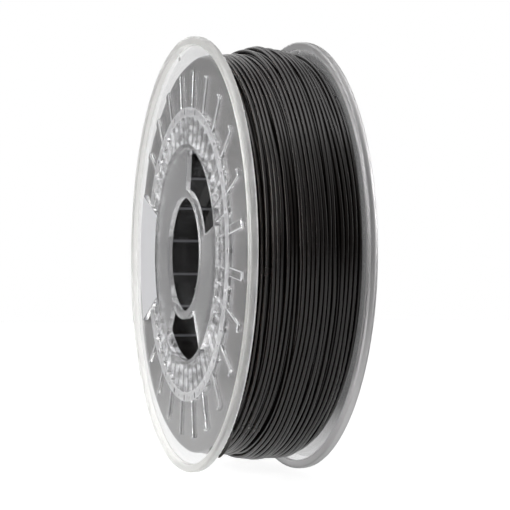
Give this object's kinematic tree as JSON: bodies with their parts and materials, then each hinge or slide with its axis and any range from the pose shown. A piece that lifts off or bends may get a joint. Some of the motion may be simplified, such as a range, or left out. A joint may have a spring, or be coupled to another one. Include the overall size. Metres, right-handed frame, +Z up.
{
  "type": "filament spool",
  "caption": "Full spool of black 3D-printing filament: clear flanges with a windowed hub and a spindle bore, hollow drum, wound strand, blank label.",
  "frame": {"origin": "middle of the spool on the axis of its spindle bore", "axes": "+Y along the bore axis, away from the labelled flange; +Z up as it stands on its rims"},
  "size_m": [0.2, 0.0556, 0.2],
  "materials": {
    "clear_plastic": "clear, slightly hazy, glossy",
    "black_filament": "satin black strand",
    "label_film": "matt white film, blank"
  },
  "bodies": {
    "root": {"near_flange": "clear_plastic", "far_flange": "clear_plastic", "core_drum": "clear_plastic", "filament_core": "black_filament", "filament_outer_turns": "black_filament", "label": "label_film"}
  },
  "joints": []
}
